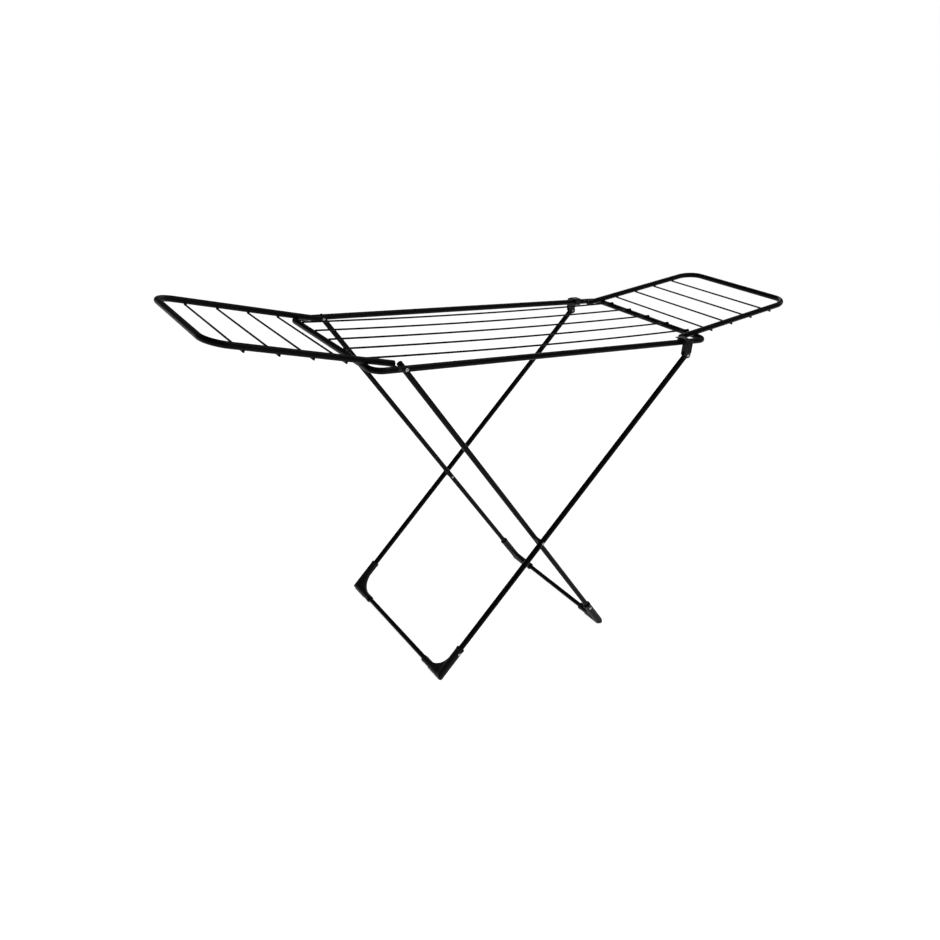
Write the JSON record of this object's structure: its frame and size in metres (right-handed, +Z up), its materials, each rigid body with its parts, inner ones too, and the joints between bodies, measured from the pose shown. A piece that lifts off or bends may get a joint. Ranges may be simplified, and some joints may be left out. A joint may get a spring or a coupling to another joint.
{
  "type": "clothes drying rack",
  "caption": "Free-standing folding clothes drying rack: a wired steel table on crossed tube legs, with wired wings that fold in over it.",
  "frame": {"origin": "middle of the footprint on the floor, under the centre of the opened rack", "axes": "+X along the table towards the end that the clips hold, +Y across it to the back, +Z up"},
  "size_m": [1.8178, 0.5522, 0.9988],
  "materials": {
    "black_paint": "satin black powder coat on steel tube",
    "coated_wire": "smooth black coating on drawn steel wire",
    "black_plastic": "fine-textured moulded black plastic",
    "zinc_steel": "zinc-plated rivets and washers"
  },
  "bodies": {
    "inner_legs": {"inner_leg_front": "black_paint", "inner_leg_back": "black_paint", "inner_crossbar": "black_paint", "inner_foot_front": "black_plastic", "inner_foot_back": "black_plastic", "inner_leg_caps": "black_plastic", "inner_foot_rivets": "zinc_steel", "crossing_rivets": "zinc_steel", "crossing_spacers": "black_plastic"},
    "outer_legs": {"outer_leg_front": "black_paint", "outer_leg_back": "black_paint", "outer_crossbar": "black_paint", "outer_foot_front": "black_plastic", "outer_foot_back": "black_plastic", "outer_tip_front": "black_plastic", "outer_tip_back": "black_plastic", "outer_foot_rivets": "zinc_steel", "clip_rivets": "zinc_steel"},
    "clips": {"clip_front": "black_plastic", "clip_back": "black_plastic"},
    "table": {"table_frame": "black_paint", "table_joiner": "zinc_steel", "table_wire_1": "coated_wire", "table_wire_2": "coated_wire", "table_wire_3": "coated_wire", "table_wire_4": "coated_wire", "table_wire_5": "coated_wire", "table_pivot_rivets": "zinc_steel", "table_pivot_washers": "zinc_steel", "wing_left_rivets": "zinc_steel", "wing_right_rivets": "zinc_steel", "wing_left_bushes": "black_plastic", "wing_right_bushes": "black_plastic"},
    "wing_left": {"wing_left_frame": "black_paint", "wing_left_wire_1": "coated_wire", "wing_left_wire_2": "coated_wire", "wing_left_wire_3": "coated_wire", "wing_left_wire_4": "coated_wire", "wing_left_caps": "black_plastic"},
    "wing_right": {"wing_right_frame": "black_paint", "wing_right_wire_1": "coated_wire", "wing_right_wire_2": "coated_wire", "wing_right_wire_3": "coated_wire", "wing_right_wire_4": "coated_wire", "wing_right_caps": "black_plastic"}
  },
  "joints": [
    {"name": "leg_fold", "type": "hinge", "parent": "inner_legs", "child": "outer_legs", "pos_m": [0.00755, 0, 0.36368], "axis": [0, -1, 0], "range_deg": [0, 76.5]},
    {"name": "table_fold", "type": "hinge", "parent": "inner_legs", "child": "table", "pos_m": [-0.449, 0, 0.905], "axis": [0, 1, 0], "range_deg": [0, 48.2]},
    {"name": "clip_turn", "type": "hinge", "parent": "outer_legs", "child": "clips", "pos_m": [0.442, 0, 0.8735], "axis": [0, 1, 0], "range_deg": [0, 124.7]},
    {"name": "wing_left_fold", "type": "hinge", "parent": "table", "child": "wing_left", "pos_m": [-0.468, 0, 0.9067], "axis": [0, 1, 0], "range_deg": [0, 167]},
    {"name": "wing_right_fold", "type": "hinge", "parent": "table", "child": "wing_right", "pos_m": [0.468, 0, 0.9067], "axis": [0, -1, 0], "range_deg": [0, 167]}
  ],
  "couplings": [
    {"joint": "table_fold", "follows": "leg_fold", "ratio": 0.63},
    {"joint": "clip_turn", "follows": "leg_fold", "ratio": 1.63}
  ]
}
